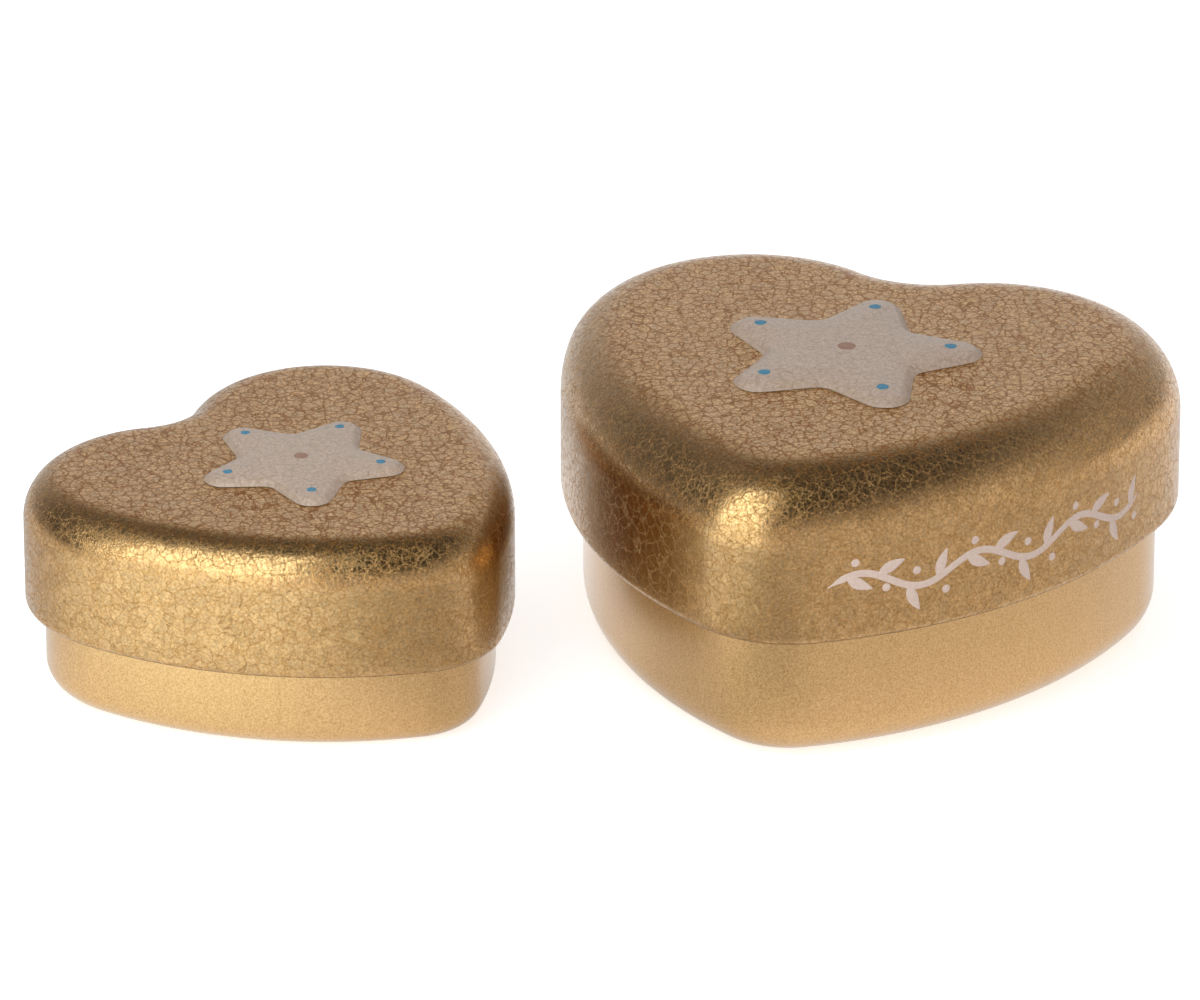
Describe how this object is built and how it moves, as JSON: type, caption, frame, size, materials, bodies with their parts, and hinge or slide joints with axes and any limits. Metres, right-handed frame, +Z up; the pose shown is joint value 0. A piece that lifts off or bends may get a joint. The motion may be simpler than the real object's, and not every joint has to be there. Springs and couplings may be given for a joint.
{
  "type": "heart-shaped keepsake tin set",
  "caption": "Large and small heart-shaped keepsake tins for milk teeth in gold finish, each with a drawn base and a crackle-lacquered slip lid with an embossed star.",
  "frame": {"origin": "on the surface that the tins stand on, under the middle of the box round both closed tins", "axes": "+Z up, +X across the pair from the small tin to the large one, +Y away from the side that the picture shows"},
  "size_m": [0.1208, 0.0654, 0.0335],
  "materials": {
    "satin_gold": "satin gold lacquer on drawn tinplate, with fine drawing marks",
    "crackle_gold": "gold crackle lacquer on drawn tinplate, with fine brown cracks",
    "cream_enamel": "cream lacquer with fine cracks on the embossed star",
    "printed_ink": "thin opaque printing ink, slightly matt"
  },
  "bodies": {
    "large_base": {"large_base": "satin_gold"},
    "large_lid": {"large_lid": "crackle_gold"},
    "small_base": {"small_base": "satin_gold"},
    "small_lid": {"small_lid": "crackle_gold"}
  },
  "joints": [
    {"name": "large_lid_lift", "type": "slide", "parent": "large_base", "child": "large_lid", "axis": [0, 0, 1], "range_m": [0, 0.045]},
    {"name": "small_tin_lift", "type": "slide", "parent": "large_base", "child": "small_base", "axis": [0, 0, 1], "range_m": [0, 0.04]},
    {"name": "small_lid_lift", "type": "slide", "parent": "small_base", "child": "small_lid", "axis": [0, 0, 1], "range_m": [0, 0.035]}
  ]
}
